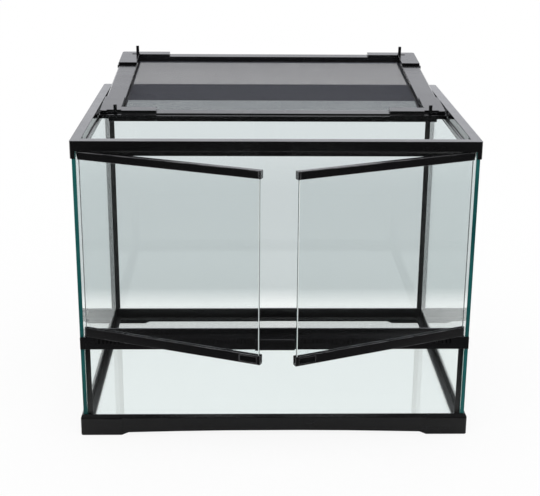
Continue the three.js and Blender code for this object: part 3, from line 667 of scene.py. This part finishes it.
# %% The screen
WIRE_PITCH = 1.5 * MM
WIRE_THICK = 0.285 * MM
WIRE_SIDES = 4
WIRE_LENGTHS = 10
WAVE = 0.9 * MM
WAVE_ACROSS = 6.0 * MM
WAVE_ALONG = 45.0 * MM
WAVE_ROOM = 0.6 * WAVE
LAYER_STEP = 0.45  # of the wire's thickness, so that the two layers touch


def painted_wire():
    """Wire painted black, with a slightly uneven coat."""
    material, tree, shader, place = new_material("wire_mesh", IOR=1.5)
    rub = noise(tree, place, 700.0, 2.0)
    shade = blend_colours(tree, rub, (0.06, 0.062, 0.08, 1), (0.105, 0.108, 0.14, 1))
    tree.links.new(shade, shader.inputs["Base Color"])
    tree.links.new(remap(tree, rub, *NOISE_SPAN, 0.3, 0.45), shader.inputs["Roughness"])
    bump(tree, shader, rub, FINE_GRAIN, 0.5)
    return material


def bend_wires(tree, wires, wave):
    """The wires moved sideways in their plane by a noise pattern."""
    place = tree.nodes.new("GeometryNodeInputPosition").outputs[0]
    stretched = tree.nodes.new("ShaderNodeVectorMath")
    stretched.operation = "DIVIDE"
    feed(tree, stretched.inputs[0], place)
    feed(tree, stretched.inputs[1], (WAVE_ACROSS, WAVE_ALONG, 1))
    pattern = add(tree, NOISE, Vector=stretched.outputs[0], Scale=1.0, Detail=1.0)
    centred = tree.nodes.new("ShaderNodeVectorMath")
    centred.operation = "SUBTRACT"
    feed(tree, centred.inputs[0], pattern.outputs["Color"])
    feed(tree, centred.inputs[1], (0.5, 0.5, 0.5))
    flat = tree.nodes.new(COMBINE)
    feed(tree, flat.inputs[0], wave)
    feed(tree, flat.inputs[1], wave)
    sideways = tree.nodes.new("ShaderNodeVectorMath")
    sideways.operation = "MULTIPLY"
    feed(tree, sideways.inputs[0], centred.outputs[0])
    feed(tree, sideways.inputs[1], flat.outputs[0])
    moved = add(
        tree, "GeometryNodeSetPosition", Geometry=wires, Offset=sideways.outputs[0]
    )
    return moved.outputs[0]


def wire_tree():
    """A Geometry Nodes tree: two crossing layers of straight wires."""
    tree = bpy.data.node_groups.new("screen_wires", "GeometryNodeTree")
    socket = tree.interface.new_socket
    for name in ("Width", "Depth", "Pitch", "Wire", "Wave"):
        socket(name, in_out="INPUT", socket_type="NodeSocketFloat")
    socket("Finish", in_out="INPUT", socket_type="NodeSocketMaterial")
    socket("Geometry", in_out="OUTPUT", socket_type="NodeSocketGeometry")
    given = tree.nodes.new("NodeGroupInput").outputs
    joined = tree.nodes.new("GeometryNodeJoinGeometry")
    radius = calc(tree, "MULTIPLY", given["Wire"], 0.5)
    quarter = math.pi / 2
    layers = (
        ("Width", "Depth", (0, quarter, 0), 1, -LAYER_STEP),
        ("Depth", "Width", (quarter, 0, 0), 0, LAYER_STEP),
    )
    for along, across, turn, axis, level in layers:
        wire = add(
            tree, "GeometryNodeMeshCylinder",
            Vertices=WIRE_SIDES, Side_Segments=WIRE_LENGTHS,
        )
        wire.fill_type = "TRIANGLE_FAN"
        feed(tree, wire.inputs["Radius"], radius)
        feed(tree, wire.inputs["Depth"], given[along])
        spaces = calc(tree, "FLOOR", calc(tree, "DIVIDE", given[across], given["Pitch"]))
        count = calc(tree, "ADD", spaces, 1.0)
        start = calc(tree, "MULTIPLY", calc(tree, "MULTIPLY", spaces, given["Pitch"]), -0.5)
        first = tree.nodes.new(COMBINE)
        feed(tree, first.inputs[axis], start)
        feed(tree, first.inputs[2], calc(tree, "MULTIPLY", given["Wire"], level))
        step = tree.nodes.new(COMBINE)
        feed(tree, step.inputs[axis], given["Pitch"])
        row = add(
            tree, "GeometryNodeMeshLine", Count=count,
            Start_Location=first.outputs[0], Offset=step.outputs[0],
        )
        placed = add(
            tree, "GeometryNodeInstanceOnPoints", Points=row.outputs[0],
            Instance=wire.outputs[0], Rotation=turn,
        )
        tree.links.new(placed.outputs[0], joined.inputs[0])
    real = add(tree, "GeometryNodeRealizeInstances", Geometry=joined.outputs[0])
    bent = bend_wires(tree, real.outputs[0], given["Wave"])
    dressed = add(
        tree, "GeometryNodeSetMaterial", Geometry=bent, Material=given["Finish"]
    )
    result = tree.nodes.new("NodeGroupOutput")
    tree.links.new(dressed.outputs[0], result.inputs[0])
    return tree


def plane_of(node_name):
    """The middle of a thin flat node, its unit axes and its length along each."""
    points = [v.co for v in nodes[node_name].data.vertices]
    low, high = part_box(node_name)
    middle = (low + high) / 2
    rise = high.z - low.z
    run = high.y - low.y
    tilt = math.atan2(rise, run)
    turned = Matrix.Rotation(tilt, 3, "X")
    flat = [turned.transposed() @ (p - middle) for p in points]
    size = [max(p[k] for p in flat) - min(p[k] for p in flat) for k in range(3)]
    return middle, turned, size


middle, turned, size = plane_of("lid_screen")
print("screen", [round(s / MM, 2) for s in size], "mm")
screen = bpy.data.objects.new("lid_screen_wires", bpy.data.meshes.new("lid_screen_wires"))
bpy.context.scene.collection.objects.link(screen)
lay_wires = screen.modifiers.new("screen_wires", "NODES")
lay_wires.node_group = wire_tree()
given_sizes = {
    "Width": size[0] - WAVE_ROOM, "Depth": size[1] - WAVE_ROOM,
    "Pitch": WIRE_PITCH, "Wire": WIRE_THICK, "Wave": WAVE,
    "Finish": painted_wire(),
}
for item in lay_wires.node_group.interface.items_tree:
    if item.in_out == "INPUT":
        lay_wires[item.identifier] = given_sizes[item.name]
bake(screen)
screen.data.transform(Matrix.Translation(middle) @ turned.to_4x4())
register(screen, "lid_screen")
print("screen wires:", len(screen.data.polygons), "faces")
